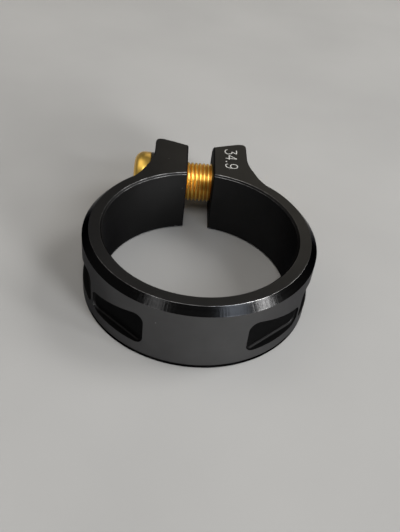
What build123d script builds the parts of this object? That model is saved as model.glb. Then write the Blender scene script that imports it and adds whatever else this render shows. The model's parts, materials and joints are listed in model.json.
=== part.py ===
from build123d import *
from math import asin, atan2, cos, degrees, radians, sin, sqrt
import os

os.makedirs("parts", exist_ok=True)

# Split ring that closes on a frame tube. The bore's axis is +Z and the origin is halfway up it;
# the ears and the slit between them point to +Y.
bore_d = 34.9
wall = 3.5
height = 13.5
bore_break = 0.35

# Bevel round the upper rim, inwards and downwards. Along each ear's root it fades to nothing:
# each pair is the degrees turned along the root and the share of the bevel left there.
rim_run = 1.2
rim_drop = 1.3
rim_fade = ((0, 1.0), (9, 0.66), (19, 0.32), (31, -0.06))

# Pair of ears across the slit. Their ends are turned round the bolt's axis to a radius beyond
# half the height, larger on the outer side than at the slit.
gap = 5.25
ear_span = 19.1
ear_root_r = 11.8
ear_end_inner = 0.75
ear_end_outer = 1.75
ear_end_flat = 1.6
ear_end_round = 0.9
ear_break = 0.22

# Weight-saving pockets: flat floor, tall at the front and tapering to the back. The pair on each
# side is parted by a thin web, and plain wall is left at the front, above and below.
pocket_reach = 12.3
pocket_end_depth = 0.46
pocket_back_h = 4.0
pocket_foot = 2.8
pocket_land = 2.3
pocket_web = 0.7
pocket_corner_r = 1.6
pocket_floor_r = 0.4
front_land = 48.5

# Clamping bolt: fine thread, low head with a rounded edge, hexagon socket, thin washer.
bolt_stand_off = 3.6
bolt_d = 8.0
bolt_tip_inset = 0.5
bolt_tip_break = 0.6
bolt_play = 0.25
thread_play = 0.05
head_d = 11.1
head_h = 3.4
head_round = 2.0
seat_play = 0.35
key_af = 5.0
key_depth = 3.6
key_break = 0.25
washer_t = 0.7
washer_inset = 0.05
washer_break = 0.1

bore_r = bore_d / 2
ring_r = bore_r + wall
top = height / 2
ear_half = ear_span / 2
gap_half = gap / 2
bolt_r = bolt_d / 2
head_r = head_d / 2
bolt_y = ring_r + bolt_stand_off
seat_x = -ear_half - washer_t
end_inner_r = top + ear_end_inner
end_outer_r = top + ear_end_outer
far = 2 * (bolt_y + end_outer_r)
bolt_axis = Axis((0, bolt_y, 0), (1, 0, 0))
bolt_plane = Plane((0, bolt_y, 0), x_dir=(0, 1, 0), z_dir=(1, 0, 0))

# The root arc is tangent to the ear's side and to the ring.
root_x = ear_half + ear_root_r
root_y = sqrt((ring_r + ear_root_r) ** 2 - root_x ** 2)
root_angle = degrees(atan2(root_y, root_x))

# Bevel cut: turned round the ring from one ear root, past the front, to the other.
cut_spare = 0.12
high_z = top + rim_drop * cut_spare
with BuildPart() as rim_cut:
    outward = Vector(-cos(radians(root_angle)), sin(radians(root_angle)), 0)
    with BuildSketch(Plane((0, 0, 0), x_dir=outward, z_dir=outward.cross(Vector(0, 0, 1)))):
        with BuildLine():
            Polyline(
                (ring_r - rim_run * (1 + cut_spare), high_z),
                (ring_r + rim_run * cut_spare, top - rim_drop * (1 + cut_spare)),
                (ring_r + rim_run * cut_spare, high_z),
                close=True,
            )
        make_face()
    revolve(axis=Axis.Z, revolution_arc=180 + 2 * root_angle)

# Its run-out: the same section, shrinking along the root arc.
with BuildPart() as rim_runout:
    for turn, share in rim_fade:
        way = radians(180 + root_angle - turn)
        outward = Vector(cos(way), sin(way), 0)
        with BuildSketch(Plane((root_x, root_y, 0), x_dir=outward, z_dir=outward.cross(Vector(0, 0, 1)))):
            with BuildLine():
                Polyline(
                    (ear_root_r + rim_run * (share + cut_spare), high_z),
                    (ear_root_r - rim_run * cut_spare, top - rim_drop * (share + cut_spare)),
                    (ear_root_r - rim_run * cut_spare, high_z),
                    close=True,
                )
            make_face()
    loft()
    mirror(about=Plane.YZ)

# Pocket cuts: one outline on the floor's plane, repeated round the ring and mirrored.
pocket_span = 2 * degrees(asin(pocket_reach / 2 / ring_r))
pocket_step = pocket_span + degrees(pocket_web / ring_r)
pocket_floor_y = sqrt(ring_r ** 2 - (pocket_reach / 2) ** 2) - pocket_end_depth
pocket_low = pocket_foot - top
pocket_high = top - rim_drop - pocket_land
with BuildPart() as pocket_cut:
    with BuildSketch(Plane.YZ):
        with BuildLine():
            Polyline(
                (-pocket_reach / 2, pocket_low),
                (pocket_reach / 2, pocket_low),
                (pocket_reach / 2, pocket_low + pocket_back_h),
                (-pocket_reach / 2, pocket_high),
                close=True,
            )
        pocket_face = make_face()
        fillet(pocket_face.vertices(), pocket_corner_r)
    extrude(amount=wall)
    fillet(pocket_cut.faces().sort_by(Axis.X)[0].edges(), pocket_floor_r)

with BuildPart() as pocket_cuts:
    first_angle = (front_land + pocket_span) / 2 - 90
    with PolarLocations(pocket_floor_y, 2, first_angle, pocket_step, endpoint=True):
        add(pocket_cut.part)
    mirror(about=Plane.YZ)

# Room that the ring and ears fill: all in front of the bolt's axis, and the turned ear ends.
with BuildPart() as ear_form:
    with BuildSketch():
        with BuildLine():
            Polyline(
                (0, bolt_y),
                (ear_half, bolt_y),
                (ear_half, bolt_y + end_outer_r),
                (ear_half - ear_end_flat, bolt_y + end_outer_r),
                (gap_half + ear_break, bolt_y + end_inner_r),
                (gap_half, bolt_y + end_inner_r - ear_break),
                (0, bolt_y + end_inner_r - ear_break),
                close=True,
            )
        end_face = make_face()
        fillet(end_face.vertices().group_by(Axis.X)[-1].sort_by(Axis.Y)[-1], ear_end_round)
    revolve(axis=bolt_axis)
    mirror(about=Plane.YZ)
    with Locations((0, bolt_y - far / 2, 0)):
        Box(far, far, far)

slit_y = sqrt(bore_r ** 2 - gap_half ** 2)
slit_plane = Plane((0, bore_r / 2, 0), x_dir=(1, 0, 0), z_dir=(0, 1, 0))
break_square = ear_break * sqrt(2)
with BuildPart() as clamp_ring:
    with BuildSketch(Plane.XY.offset(-top)) as outline:
        Circle(ring_r)
        with Locations((0, far / 4)):
            Rectangle(ear_span, far / 2)
        fillet(outline.vertices().group_by(Axis.Y)[-2], ear_root_r)
    extrude(amount=height)
    chamfer(clamp_ring.faces().filter_by(Axis.Z).edges(), ear_break)
    add(ear_form.part, mode=Mode.INTERSECT)
    add(rim_cut.part, mode=Mode.SUBTRACT)
    add(rim_runout.part, mode=Mode.SUBTRACT)
    add(pocket_cuts.part, mode=Mode.SUBTRACT)
    Cylinder(bore_r, far, mode=Mode.SUBTRACT)
    chamfer(clamp_ring.edges(Select.LAST).filter_by(GeomType.CIRCLE), bore_break)
    # The slit, with its long edges and the bore's corners broken.
    with BuildSketch(slit_plane):
        Rectangle(gap, far)
        with GridLocations(gap, height, 2, 2):
            Rectangle(break_square, break_square, rotation=45)
    extrude(amount=far, mode=Mode.SUBTRACT)
    with BuildSketch():
        with Locations((-gap_half, slit_y), (gap_half, slit_y)):
            Rectangle(break_square, break_square, rotation=45)
    extrude(amount=height, both=True, mode=Mode.SUBTRACT)
    # Clear hole and head seat in the left ear, threaded hole in the right one.
    with BuildSketch(bolt_plane):
        Circle(bolt_r + bolt_play)
    extrude(amount=-far, mode=Mode.SUBTRACT)
    with BuildSketch(bolt_plane):
        Circle(bolt_r + thread_play)
    extrude(amount=far, mode=Mode.SUBTRACT)
    with BuildSketch(bolt_plane.offset(-ear_half)):
        Circle(head_r + seat_play)
    extrude(amount=-far, mode=Mode.SUBTRACT)

clamp_ring.part.label = "clamp_ring"
export_step(clamp_ring.part, "parts/clamp_ring.step")

with BuildPart() as clamp_bolt:
    with BuildSketch():
        with BuildLine():
            Polyline(
                (seat_x - head_h, bolt_y),
                (seat_x - head_h, bolt_y + head_r),
                (seat_x, bolt_y + head_r),
                (seat_x, bolt_y + bolt_r),
                (ear_half - bolt_tip_inset, bolt_y + bolt_r),
                (ear_half - bolt_tip_inset, bolt_y),
                close=True,
            )
        bolt_face = make_face()
        levels = bolt_face.vertices().group_by(Axis.Y)
        fillet(levels[-1].sort_by(Axis.X)[0], head_round)
        chamfer(levels[1].sort_by(Axis.X)[-1], bolt_tip_break)
    revolve(axis=bolt_axis)
    with BuildSketch(bolt_plane.offset(seat_x - head_h)):
        RegularPolygon(key_af / 2, 6, major_radius=False)
    extrude(amount=key_depth, mode=Mode.SUBTRACT)
    chamfer(clamp_bolt.faces().sort_by(Axis.X)[0].inner_wires()[0].edges(), key_break)

clamp_bolt.part.label = "clamp_bolt"
export_step(clamp_bolt.part, "parts/clamp_bolt.step")

with BuildPart() as bolt_washer:
    with BuildSketch(bolt_plane.offset(-ear_half)):
        Circle(head_r - washer_inset)
        Circle(bolt_r + bolt_play, mode=Mode.SUBTRACT)
    extrude(amount=-washer_t)
    chamfer(bolt_washer.edges().filter_by(GeomType.CIRCLE), washer_break)

bolt_washer.part.label = "bolt_washer"
export_step(bolt_washer.part, "parts/bolt_washer.step")
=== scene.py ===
import json
from math import ceil, cos, floor, pi, radians, sin

import bmesh
import bpy
from mathutils import Matrix, Quaternion, Vector


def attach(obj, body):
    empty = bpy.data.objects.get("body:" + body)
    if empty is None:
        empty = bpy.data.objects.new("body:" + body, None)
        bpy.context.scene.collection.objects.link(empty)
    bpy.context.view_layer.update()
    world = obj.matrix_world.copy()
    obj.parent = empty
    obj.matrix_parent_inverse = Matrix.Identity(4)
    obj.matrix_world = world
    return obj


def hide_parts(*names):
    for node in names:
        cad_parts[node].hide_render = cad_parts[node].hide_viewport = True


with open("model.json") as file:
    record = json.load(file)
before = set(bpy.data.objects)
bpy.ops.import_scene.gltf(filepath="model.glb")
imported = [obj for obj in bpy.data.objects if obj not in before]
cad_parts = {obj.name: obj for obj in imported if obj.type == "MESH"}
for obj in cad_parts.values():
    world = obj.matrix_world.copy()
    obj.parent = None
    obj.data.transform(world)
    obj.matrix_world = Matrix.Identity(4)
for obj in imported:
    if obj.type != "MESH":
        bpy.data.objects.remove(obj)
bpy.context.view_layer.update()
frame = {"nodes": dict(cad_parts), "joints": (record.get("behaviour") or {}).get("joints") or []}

# THE BAND. One piece of aluminium: turned as a ring, bored to the tube, milled to leave the two ears
# and the outer pockets, slit between the ears, then black anodised all over. The outer wall is satin,
# the bevel round its upper rim is cut bright, and the sharp rims have begun to wear to bare metal,
# with painted highlights along them. The pockets, the bore, the slit and the foot carry painted shade.
mm = 0.001
band_bore_r = 17.45
band_outer_r = 20.95
band_top = 6.75
rim_run = 1.2
rim_drop = 1.3
bore_break = 0.35
slit_half = 2.9
ears_y = 15.8
weld = 0.012
band_crease = 21

# Limits of the band's surfaces, each a little past or short of the edge that bounds it.
bevel_low = band_top - rim_drop - 0.01
bevel_high = band_top - 0.03
bevel_r = band_outer_r - rim_run - 0.2
bevel_fade_y = 8.0
wall_r = band_outer_r - 0.07
wall_fade_y = (9.0, 18.0)
# The painted contact shadow round the foot reaches this high, where the wall begins.
foot_shadow_top = 0.8 - band_top
pocket_floor_r = band_bore_r + 0.5
pocket_half = 4.2
inside_r = band_bore_r + bore_break - 0.01
chamfer_low = band_top - bore_break + 0.02
chamfer_high = band_top - 0.02
chamfer_r = band_bore_r + bore_break

# Marks that tools and use leave: the lathe's lines to a millimetre, chatter along the bevel, where the
# rims begin to wear (with painted highlights on the same lines), scattered nicks, and the worn lower
# corners of the slit.
lathe_lines = 3.2
chatter_round = 45.0
chatter_up = 0.3
slit_wear_and_highlight_y = 6.0
front_wear_and_highlight_y = (4.0, 16.0)
nick_cells = 0.62
nick_r = 0.1
nick_from = 0.9
corner_y = band_bore_r - 0.55
corner_top = 0.45 - band_top
corner_r = band_bore_r + 0.1


class Wire:
    """A node's output. Arithmetic on it adds Math nodes, and node() adds any other kind of node."""

    def __init__(self, tree, socket=None):
        self.tree = tree
        self.socket = socket

    def node(self, kind, settings=None, sockets=None, out=0):
        made = self.tree.nodes.new(kind)
        for name, value in (settings or {}).items():
            setattr(made, name, value)
        for name, value in (sockets or {}).items():
            if isinstance(value, Wire):
                self.tree.links.new(value.socket, made.inputs[name])
            else:
                made.inputs[name].default_value = value
        return Wire(self.tree, made.outputs[out] if len(made.outputs) else None)

    def sum_of(self, operation, *values):
        return self.node("ShaderNodeMath", {"operation": operation}, dict(enumerate(values)))

    def __getitem__(self, name):
        return Wire(self.tree, self.socket.node.outputs[name])

    def __add__(self, other):
        return self.sum_of("ADD", self, other)

    def __sub__(self, other):
        return self.sum_of("SUBTRACT", self, other)

    def __rsub__(self, other):
        return self.sum_of("SUBTRACT", other, self)

    def __mul__(self, other):
        return self.sum_of("MULTIPLY", self, other)

    def __truediv__(self, other):
        return self.sum_of("DIVIDE", self, other)

    def __pow__(self, other):
        return self.sum_of("POWER", self, other)

    def __abs__(self):
        return self.sum_of("ABSOLUTE", self)

    def __gt__(self, other):
        return self.sum_of("GREATER_THAN", self, other)

    def __lt__(self, other):
        return self.sum_of("LESS_THAN", self, other)

    __radd__ = __add__
    __rmul__ = __mul__

    def held(self):
        return self.sum_of("MINIMUM", self.sum_of("MAXIMUM", self, 0.0), 1.0)

    def between(self, low, high):
        return ((self - low) / (high - low)).held()

    def tint(self, first, second):
        sockets = {"Factor": self, 6: first, 7: second}
        return self.node("ShaderNodeMix", {"data_type": "RGBA"}, sockets, out=2)

    def vector(self, x, y, z):
        return self.node("ShaderNodeCombineXYZ", None, {0: x, 1: y, 2: z})

    def noise(self, place, scale, detail=2.0, roughness=0.5):
        sockets = {"Vector": place, "Scale": scale, "Detail": detail, "Roughness": roughness}
        return self.node("ShaderNodeTexNoise", None, sockets)


def new_finish(name):
    """A material, its place in millimetres as x, y and z, and its surface shader's sockets."""
    material = bpy.data.materials.new(name)
    material.use_nodes = True
    shader = material.node_tree.nodes["Principled BSDF"]
    start = Wire(material.node_tree)
    place = start.node("ShaderNodeTexCoord", out="Object")
    place = start.node("ShaderNodeVectorMath", {"operation": "SCALE"}, {0: place, "Scale": 1 / mm})
    axes = start.node("ShaderNodeSeparateXYZ", None, {0: place})
    return material, shader, place, (axes["X"], axes["Y"], axes["Z"])


def wire_up(shader, sockets):
    """Sets or links the shader's sockets."""
    for name, value in sockets.items():
        if isinstance(value, Wire):
            value.tree.links.new(value.socket, shader.inputs[name])
        else:
            shader.inputs[name].default_value = value


black_anodised, shader, place, (x, y, z) = new_finish("black_anodised")
reach = (x * x + y * y) ** 0.5
lathe_place = place.vector(reach * lathe_lines, z * lathe_lines, 0.0)
lathe = place.noise(lathe_place, scale=1.0, detail=5.0, roughness=0.62)
grain = place.noise(place, scale=9.0)
mottle = place.noise(place, scale=0.22, detail=3.0)
round_about = place.sum_of("ARCTAN2", x, y)
chatter_place = place.vector(round_about * chatter_round, z * chatter_up, 0.0)
chatter = place.noise(chatter_place, scale=1.0, detail=3.0, roughness=0.6)
round_part = y < ears_y
bevel = (z > bevel_low) * (z < bevel_high) * (reach > bevel_r) * (1 - y.between(bevel_fade_y, ears_y))
wall = (reach > wall_r) * (z < band_top - rim_drop) * (z > foot_shadow_top) * (1 - y.between(*wall_fade_y))
# The pockets' insides, darkened below as painted shade.
pocket = (reach < wall_r) * (reach > pocket_floor_r) * (abs(z) < pocket_half) * round_part
# The bore and the slit's walls, darkened below as painted shade.
inside = ((reach < inside_r) + (abs(x) < slit_half) * (1 - round_part)).held()
chamfered = inside * (z > chamfer_low) * (z < chamfer_high) * (reach < chamfer_r)
# Painted contact shadow: the lowest 0.8 mm round the outside gets a near-black base colour below.
foot = (z < foot_shadow_top) * (1 - inside)
rub = place.noise(place, scale=0.55, detail=4.0, roughness=0.6).between(0.42, 0.66)
slit_side = y.between(slit_wear_and_highlight_y, band_bore_r)
front_side = (-1 * y).between(*front_wear_and_highlight_y)
# Thin lines of bare metal along the rims: partly wear, partly painted highlights, strongest round the
# bore's top near the slit and along the bevel's top edge at the front.
worn_and_highlit = 0.0
for rim_r, rim_z, rim_width, wear_and_highlight in (
    (band_bore_r + bore_break, band_top, 0.075, 0.15 + 1.35 * slit_side * slit_side),
    (band_bore_r, band_top - bore_break, 0.065, 0.1 + 1.05 * slit_side * slit_side),
    (band_outer_r - rim_run, band_top, 0.075, 0.7 * front_side),
    (band_outer_r, band_top - rim_drop, 0.06, 0.1 * front_side),
):
    off = ((reach - rim_r) * (reach - rim_r) + (z - rim_z) * (z - rim_z)) ** 0.5
    worn_and_highlit = (1 - off / rim_width).held() * wear_and_highlight + worn_and_highlit
cell = place.node("ShaderNodeTexVoronoi", None, {"Vector": place, "Scale": nick_cells})
pick = place.node("ShaderNodeSeparateColor", None, {0: cell["Color"]})
nick = (1 - cell["Distance"] / nick_r).held() * (pick["Red"] > nick_from)
corner = (y > corner_y) * (z < corner_top) * (reach < corner_r) * rub
bare_and_highlit = (worn_and_highlit * (0.3 + rub) + nick * 0.6 + corner).held()
# Base colour and roughness surface by surface: the wall gets a brighter base colour and the bevel a
# darker one; the pockets, the bore with its chamfer, the slit's walls and the foot are darkened as
# painted shade, the foot's as a painted contact shadow.
shine = 0.075
satin = 0.33
for surface, brighter, rougher in (
    (wall, 0.027, 0.12), (bevel, -0.054, -0.14), (pocket, -0.059, 0.15),
    (inside, -0.043, 0.15), (chamfered, -0.015, 0.0), (foot, -0.069, 0.0),
):
    shine = shine + brighter * surface
    satin = satin + rougher * surface
shine = shine * (0.85 + 0.3 * mottle)
satin = satin + 0.1 * (grain - 0.5) + 0.12 * (lathe - 0.5)
black = place.node("ShaderNodeCombineColor", None, {0: shine, 1: shine, 2: shine * 1.02})
relief = lathe * 0.35 + grain * 0.35 + 6.0 * chatter * bevel
bump = {"Strength": 0.35, "Distance": 0.012 * mm, "Height": relief}
wire_up(shader, {
    "Base Color": bare_and_highlit.tint(black, (0.62, 0.62, 0.63, 1)),
    "Metallic": 1.0,
    "Specular Tint": (0.35, 0.35, 0.36, 1),
    "Roughness": satin,
    "Normal": place.node("ShaderNodeBump", None, bump),
})


def smooth_copy(node):
    """The node's triangles with their doubles merged, as a bmesh."""
    made = bmesh.new()
    made.from_mesh(frame["nodes"][node].data)
    bmesh.ops.remove_doubles(made, verts=made.verts, dist=weld * mm)
    return made


def add_piece(name, made, material, crease):
    """A smooth-shaded object at the origin from a bmesh, with its sharp edges kept."""
    made.normal_update()
    for face in made.faces:
        face.smooth = True
    for edge in made.edges:
        edge.smooth = edge.calc_face_angle(0.0) < radians(crease)
    mesh = bpy.data.meshes.new(name)
    made.to_mesh(mesh)
    made.free()
    mesh.materials.append(material)
    rough = bpy.data.objects.new(name + "_rough", mesh)
    bpy.context.scene.collection.objects.link(rough)
    weigh = rough.modifiers.new("weigh", "WEIGHTED_NORMAL")
    weigh.keep_sharp = True
    evaluated = rough.evaluated_get(bpy.context.evaluated_depsgraph_get())
    piece = bpy.data.objects.new(name, bpy.data.meshes.new_from_object(evaluated))
    bpy.context.scene.collection.objects.link(piece)
    bpy.data.objects.remove(rough)
    return piece


# THE TAPPED HOLE in the right ear takes the bolt's fine thread, cut right through the ear. The cut is
# one ridge that winds along the hole, and fades out just inside each mouth. A foot is half the ridge's
# width at its base, and the flank's slope its rise, both against the pitch.
bolt_turn = next(joint for joint in frame["joints"] if joint["name"] == "bolt_turn")
bolt_axis = Vector(bolt_turn["pos_m"]) / mm
pitch = 0.8
bolt_r = 4.0
thread_depth = 0.36
thread_play = 0.05
steps_round = 64
tapped_from = 2.645
tapped_to = 9.53
tapped_fade = 0.45
tapped_foot = 5 / 16
tapped_wall = 0.2
tapped_skin = 0.01
section_points = 9
flank_slope = 4

winding = bpy.data.node_groups.new("winding_thread", "GeometryNodeTree")
thread_inputs = {}
for name, kind in (
    ("Pitch", "NodeSocketFloat"), ("First Crest", "NodeSocketFloat"), ("Turns", "NodeSocketInt"),
    ("From", "NodeSocketFloat"), ("To", "NodeSocketFloat"), ("Fade", "NodeSocketFloat"),
    ("Core Radius", "NodeSocketFloat"), ("Ridge", "NodeSocketFloat"), ("Foot", "NodeSocketFloat"),
    ("Material", "NodeSocketMaterial"),
):
    thread_inputs[name] = winding.interface.new_socket(name, in_out="INPUT", socket_type=kind)
winding.interface.new_socket("Thread", in_out="OUTPUT", socket_type="NodeSocketGeometry")
start = Wire(winding)
given = start.node("NodeGroupInput")
grid = start.node("GeometryNodeMeshGrid", None, {
    "Size X": 1.0, "Size Y": 1.0,
    "Vertices X": given["Turns"] * steps_round + 1, "Vertices Y": section_points,
})
spot = start.node("ShaderNodeSeparateXYZ", None, {0: start.node("GeometryNodeInputPosition")})
turned = (spot["X"] + 0.5) * given["Turns"]
across = spot["Y"] + 0.5 + 0.5 / (section_points - 1)
along = given["First Crest"] + given["Pitch"] * (turned + across - 0.5)
along = start.sum_of("MINIMUM", start.sum_of("MAXIMUM", along, given["From"]), given["To"])
ridge = ((given["Foot"] - abs(across - 0.5)) * flank_slope).held()
near_end = start.sum_of("MINIMUM", along - given["From"], given["To"] - along)
ridge = ridge * (near_end / given["Fade"]).held()
radius = given["Core Radius"] + given["Ridge"] * ridge
round_y = radius * start.sum_of("COSINE", turned * (2 * pi))
round_z = radius * start.sum_of("SINE", turned * (2 * pi))
spot = start.vector(along * mm, (round_y + bolt_axis.y) * mm, (round_z + bolt_axis.z) * mm)
wound = start.node("GeometryNodeSetPosition", None, {"Geometry": grid, "Position": spot})
wound = start.node("GeometryNodeMergeByDistance", None, {"Geometry": wound, "Distance": 0.002 * mm})
wound = start.node("GeometryNodeRealizeInstances", None, {"Geometry": wound})
wound = start.node("GeometryNodeSetMaterial", None, {"Geometry": wound, "Material": given["Material"]})
start.node("NodeGroupOutput", None, {"Thread": wound})


def wind_thread(crest, begin, end, fade, core, height, foot, material):
    """The thread's surface between two places on the bolt's axis, open at its ends, as a bmesh."""
    first = crest + pitch * (floor((begin - crest) / pitch) - 1)
    blank = bpy.data.objects.new("blank", bpy.data.meshes.new("blank"))
    bpy.context.scene.collection.objects.link(blank)
    modifier = blank.modifiers.new("thread", "NODES")
    modifier.node_group = winding
    for name, value in {
        "Pitch": pitch, "First Crest": first, "Turns": ceil((end - first) / pitch) + 1,
        "From": begin, "To": end, "Fade": fade,
        "Core Radius": core, "Ridge": height, "Foot": foot, "Material": material,
    }.items():
        modifier[thread_inputs[name].identifier] = value
    evaluated = blank.evaluated_get(bpy.context.evaluated_depsgraph_get())
    mesh = bpy.data.meshes.new_from_object(evaluated)
    bpy.data.objects.remove(blank)
    made = bmesh.new()
    made.from_mesh(mesh)
    bmesh.ops.dissolve_degenerate(made, dist=0.001 * mm, edges=made.edges)
    return made


hole_r = bolt_r + thread_play
sleeve = wind_thread(
    crest=pitch / 2, begin=tapped_from, end=tapped_to, fade=tapped_fade, core=hole_r - tapped_skin,
    height=-thread_depth, foot=tapped_foot, material=black_anodised,
)
# The ridge gets a thin back, sunk in the ear's metal, so that it is a closed shell.
hole_middle = Vector((0, bolt_axis.y, bolt_axis.z)) * mm
backs = {}
for edge in [edge for edge in sleeve.edges if edge.is_boundary]:
    for vert in edge.verts:
        if vert not in backs:
            spoke = Vector((0, vert.co.y, vert.co.z)) - hole_middle
            backs[vert] = sleeve.verts.new(vert.co + spoke.normalized() * tapped_wall * mm)
    one, other = edge.verts
    sleeve.faces.new((one, other, backs[other], backs[one]))
bmesh.ops.bridge_loops(sleeve, edges=[edge for edge in sleeve.edges if edge.is_boundary])
bmesh.ops.recalc_face_normals(sleeve, faces=sleeve.faces)
tapped_thread = bpy.data.meshes.new("tapped_thread")
sleeve.to_mesh(tapped_thread)
sleeve.free()

band = smooth_copy("clamp_ring")
band.from_mesh(tapped_thread)
band = add_piece("band", band, black_anodised, band_crease)
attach(band, "ring")
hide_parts("clamp_ring")

# THE SIZE MARK. The bore's size in millimetres is marked by laser on the right ear's top, which burns
# the black away to bare metal. It reads from the ear's end towards the bore, in plain thin figures.
mark_height = 2.38
mark_width = 1.65
mark_stroke = 0.2
mark_flatness = 0.08
mark_crease = 60
mark_left = 5.02
mark_back = 27.35
mark_places = {"3": 0.0, "4": 2.2, "dot": 4.58, "9": 5.55}
mark_strokes = {
    "3": [[(0.08, 1.0), (0.95, 1.0)], [(0.95, 1.0), (0.46, 0.6)],
          [(0.46, 0.6), (0.78, 0.63), (1.04, 0.46), (1.02, 0.06),
           (0.5, -0.02), (0.08, 0.02), (0.02, 0.22)]],
    "4": [[(0.72, 0.02), (0.76, 1.0)], [(0.76, 1.0), (0.0, 0.34)], [(0.0, 0.34), (1.0, 0.34)]],
    "dot": [[(0.0, 0.02), (0.0, 0.14)], [(0.1, 0.02), (0.1, 0.14)]],
    "9": [[(0.92, 0.7), (0.92, 0.48), (0.5, 0.36), (0.0, 0.5),
           (0.0, 0.94), (0.5, 1.05), (0.92, 0.95), (0.92, 0.66)],
          [(0.92, 0.7), (0.93, 0.4), (0.84, 0.12), (0.52, 0.0), (0.08, -0.02), (0.04, 0.2)]],
}

silver_mark, shader, place, _ = new_finish("silver_mark")
burnt = place.noise(place, scale=5.0, detail=3.0)
wire_up(shader, {
    "Base Color": burnt.between(0.3, 0.7).tint((0.46, 0.46, 0.45, 1), (0.64, 0.64, 0.62, 1)),
    "Roughness": 0.5 + 0.2 * (burnt - 0.5),
    "Metallic": 0.15,
})

figures = bpy.data.curves.new("size_mark", "CURVE")
figures.dimensions = "3D"
figures.bevel_depth = mark_stroke / 2 * mm
figures.bevel_resolution = 3
figures.use_fill_caps = True
figures.resolution_u = 10
for name, shift in mark_places.items():
    for stroke in mark_strokes[name]:
        spline = figures.splines.new("NURBS")
        spline.points.add(len(stroke) - 1)
        for point, (right, rise) in zip(spline.points, stroke):
            point_x = (mark_left + rise * mark_height) * mm
            point_y = (mark_back - shift - right * mark_width) * mm
            point.co = (point_x, point_y, 0, 1)
        spline.order_u = min(4, len(stroke))
        spline.use_endpoint_u = True
drawn = bpy.data.objects.new("drawn_mark", figures)
bpy.context.scene.collection.objects.link(drawn)
evaluated = drawn.evaluated_get(bpy.context.evaluated_depsgraph_get())
mark_mesh = bpy.data.meshes.new_from_object(evaluated)
bpy.data.objects.remove(drawn)
flattened = Matrix.Scale(mark_flatness, 4, (0, 0, 1))
mark_mesh.transform(Matrix.Translation((0, 0, band_top * mm)) @ flattened)
mark = bmesh.new()
mark.from_mesh(mark_mesh)
mark = add_piece("size_mark", mark, silver_mark, mark_crease)
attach(mark, "ring")

# THE WASHER. A thin plain ring stamped from steel and blackened, loose on the bolt between its head
# and the left ear, so that the head turns on steel and doesn't gall the aluminium.
washer_crease = 30
washer_lines = 6.0

dark_steel, shader, place, (x, y, z) = new_finish("dark_steel")
spin = ((y - bolt_axis.y) * (y - bolt_axis.y) + z * z) ** 0.5
ring_place = place.vector(spin * washer_lines, x * washer_lines, 0.0)
rings = place.noise(ring_place, scale=1.0, detail=3.0)
patch = place.noise(place, scale=0.8, detail=3.0)
bump = {"Strength": 0.3, "Distance": 0.01 * mm, "Height": rings}
wire_up(shader, {
    "Base Color": patch.between(0.3, 0.7).tint((0.06, 0.058, 0.055, 1), (0.12, 0.117, 0.11, 1)),
    "Metallic": 1.0,
    "Roughness": 0.36 + 0.2 * (rings - 0.5),
    "Normal": place.node("ShaderNodeBump", None, bump),
})
washer = add_piece("washer", smooth_copy("bolt_washer"), dark_steel, washer_crease)
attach(washer, "washer")
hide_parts("bolt_washer")

# THE BOLT. Gold anodised aluminium: a low head with a rounded edge and a broached hexagon socket, a
# short plain neck, and a fine thread rolled along the rest of the shank. It screws into the right ear.
head_r = 5.55
head_h = 3.4
head_round = 2.0
head_edge = 0.2
head_edge_mid = 0.06
key_half = 2.5
key_depth = 3.6
key_break = 0.25
drill_r = 2.3
drill_point = 0.7
seat_x = -10.25
neck_r = 3.45
neck_round = 0.3
neck_end_r = 3.1
neck_taper = 0.35
neck_to = -8.6
thread_from = -9.2
thread_to = 9.05
thread_foot = 7 / 16
tip_fade = 0.6
head_steps = 96
round_steps = 14
bolt_crease = 24
bolt_lines = 4.0

gold_anodised, shader, place, (x, y, z) = new_finish("gold_anodised")
spin = ((y - bolt_axis.y) * (y - bolt_axis.y) + z * z) ** 0.5
cloud = place.noise(place, scale=0.5, detail=3.0)
hair_place = place.vector(spin * bolt_lines, x * bolt_lines, 0.0)
hair = place.noise(hair_place, scale=1.0, detail=4.0)
crest = spin.between(bolt_r - thread_depth, bolt_r)
# Darker and more orange towards the axis: painted shade in the thread's roots, which the neck and the
# socket also take.
gold = crest.tint((0.8, 0.45, 0.07, 1), (0.96, 0.63, 0.135, 1))
gold = (cloud.between(0.45, 0.75) * 0.35).tint(gold, (0.95, 0.56, 0.26, 1))
bump = {"Strength": 0.15, "Distance": 0.01 * mm, "Height": hair}
wire_up(shader, {
    "Base Color": gold,
    "Metallic": 1.0,
    "Roughness": 0.34 + 0.12 * (hair - 0.5) + 0.05 * (1 - crest),
    "Normal": place.node("ShaderNodeBump", None, bump),
})


def hexagon(half):
    """Distance to a hexagon's side of that half width, by angle."""
    return lambda angle: half / cos((angle + pi / 6) % (pi / 3) - pi / 6)


# The head's outline from the neck round to the socket's floor, as places along the axis and radii.
round_x = seat_x + neck_round
round_r = neck_r + neck_round
outline = [(neck_to, neck_end_r), (neck_to - neck_taper, neck_r), (round_x, neck_r)]
for t in (pi / 6, pi / 3, pi / 2):
    outline.append((round_x - neck_round * sin(t), round_r - neck_round * cos(t)))
outline += [
    (seat_x, head_r - head_edge), (seat_x - head_edge_mid, head_r - head_edge_mid),
    (seat_x - head_edge, head_r),
]
end_x = seat_x - head_h
for step in range(round_steps + 1):
    t = step / round_steps * pi / 2
    outline.append((end_x + head_round * (1 - sin(t)), head_r - head_round * (1 - cos(t))))
outline += [(end_x, hexagon(key_half + key_break)), (end_x + key_break, hexagon(key_half))]
outline += [(end_x + key_depth, hexagon(key_half)), (end_x + key_depth, drill_r)]

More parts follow.
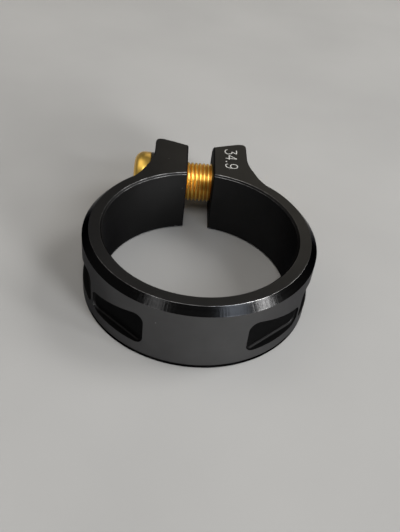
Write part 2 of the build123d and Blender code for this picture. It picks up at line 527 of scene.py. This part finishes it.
bolt = wind_thread(
    crest=0.0, begin=thread_from, end=thread_to, fade=tip_fade, core=bolt_r - thread_depth,
    height=thread_depth, foot=thread_foot, material=gold_anodised,
)
bmesh.ops.holes_fill(bolt, edges=[edge for edge in bolt.edges if edge.is_boundary], sides=0)
last = None
for ring_x, ring_r in outline:
    loop = []
    for step in range(head_steps):
        angle = 2 * pi * step / head_steps
        out = ring_r(angle) if callable(ring_r) else ring_r
        spot = Vector((ring_x, bolt_axis.y + out * cos(angle), bolt_axis.z + out * sin(angle)))
        loop.append(bolt.verts.new(spot * mm))
    if last is None:
        bolt.faces.new(loop)
    else:
        for step in range(head_steps):
            after = (step + 1) % head_steps
            bolt.faces.new((last[step], last[after], loop[after], loop[step]))
    last = loop
drill = bolt.verts.new(Vector((end_x + key_depth + drill_point, bolt_axis.y, bolt_axis.z)) * mm)
for step in range(head_steps):
    bolt.faces.new((last[step], last[(step + 1) % head_steps], drill))
bmesh.ops.recalc_face_normals(bolt, faces=bolt.faces)
bolt = add_piece("bolt", bolt, gold_anodised, bolt_crease)
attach(bolt, "bolt")
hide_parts("clamp_bolt")

# THE STUDIO. The clamp stands on a plain pale floor under soft lamps, the strongest overhead to the
# right. Small softboxes in front are picked up by the bevel, and the ones behind by the ears and bolt.
floor_r = 3.0
floor_steps = 96
room_colour = (0.65, 0.63, 0.61, 1)
room_strength = 0.18

pale_floor, shader, place, _ = new_finish("pale_floor")
cast = place.noise(place, scale=0.02, detail=3.0)
wire_up(shader, {
    "Base Color": cast.between(0.3, 0.7).tint((0.36, 0.36, 0.358, 1), (0.40, 0.40, 0.397, 1)),
    "Roughness": 0.85,
    "Specular IOR Level": 0.1,
})
made = bmesh.new()
bmesh.ops.create_circle(made, cap_ends=True, radius=floor_r, segments=floor_steps)
mesh = bpy.data.meshes.new("studio_floor")
made.to_mesh(mesh)
made.free()
mesh.transform(Matrix.Translation((0, 0, -band_top * mm)))
mesh.materials.append(pale_floor)
studio_floor = bpy.data.objects.new("studio_floor", mesh)
bpy.context.scene.collection.objects.link(studio_floor)

room = bpy.data.worlds.new("room")
room.use_nodes = True
backdrop = room.node_tree.nodes["Background"]
backdrop.inputs["Color"].default_value = room_colour
backdrop.inputs["Strength"].default_value = room_strength
bpy.context.scene.world = room


def hang_lamp(name, direction, distance, width, height, power, colour, spread=180):
    """A rectangular softbox that faces the clamp from that direction."""
    lamp = bpy.data.lights.new(name, "AREA")
    lamp.shape = "RECTANGLE"
    lamp.size, lamp.size_y = width, height
    lamp.energy = power
    lamp.color = colour
    lamp.spread = radians(spread)
    hung = bpy.data.objects.new(name, lamp)
    bpy.context.scene.collection.objects.link(hung)
    hung.location = Vector(direction).normalized() * distance
    hung.rotation_mode = "QUATERNION"
    hung.rotation_quaternion = (-hung.location).to_track_quat("-Z", "Y")
    hung.visible_camera = False


day_white = (1.0, 0.985, 0.96)
soft_white = (1.0, 0.99, 0.97)
cool_white = (0.8, 0.88, 1.0)
warm_white = (1.0, 0.93, 0.84)
amber = (1.0, 0.9, 0.68)
# Each lamp's direction, distance, width and height in metres, power in watts and colour.
hang_lamp("overhead_lamp", (0.7, 0.15, 0.7), 1.0, 0.45, 0.45, 4.7, day_white)
hang_lamp("front_lamp", (0.0, -0.42, 0.91), 1.0, 0.25, 0.5, 2.3, day_white)
hang_lamp("low_lamp", (0.66, -0.72, 0.2), 2.0, 0.8, 0.6, 2.0, soft_white, spread=26)
hang_lamp("right_softbox", (0.787, -0.38, 0.486), 0.5, 0.065, 0.09, 0.55, soft_white)
hang_lamp("cool_softbox", (0.49, -0.62, 0.6), 0.5, 0.16, 0.08, 0.26, cool_white)
hang_lamp("left_softbox", (-0.476, -0.631, 0.613), 0.5, 0.1, 0.08, 0.09, soft_white)
hang_lamp("high_softbox", (-0.5, 0.22, 0.8), 0.6, 0.4, 0.62, 0.8, warm_white)
hang_lamp("back_softbox", (0.37, 0.84, 0.42), 0.8, 0.65, 0.28, 0.42, amber)

# THE CAMERA looks down over the front of the band from where the photograph was taken. The photograph
# is cut from a wider one, so the picture is shifted a little off the lens's middle.
eye = Vector((-6.097, -91.077, 76.843)) * mm
target = Vector((-4.7, 4.447, -6.75)) * mm
roll = 4.949
lens = bpy.data.cameras.new("camera")
lens.sensor_width = 36.0
lens.lens = 43.699
lens.shift_x = 0.0564
lens.clip_start = 0.002
lens.clip_end = 20.0
camera = bpy.data.objects.new("camera", lens)
bpy.context.scene.collection.objects.link(camera)
camera.location = eye
camera.rotation_mode = "QUATERNION"
aim = (target - eye).to_track_quat("-Z", "Y")
camera.rotation_quaternion = aim @ Quaternion((0, 0, 1), radians(roll))
bpy.context.scene.camera = camera
bpy.context.scene.view_settings.view_transform = "Standard"
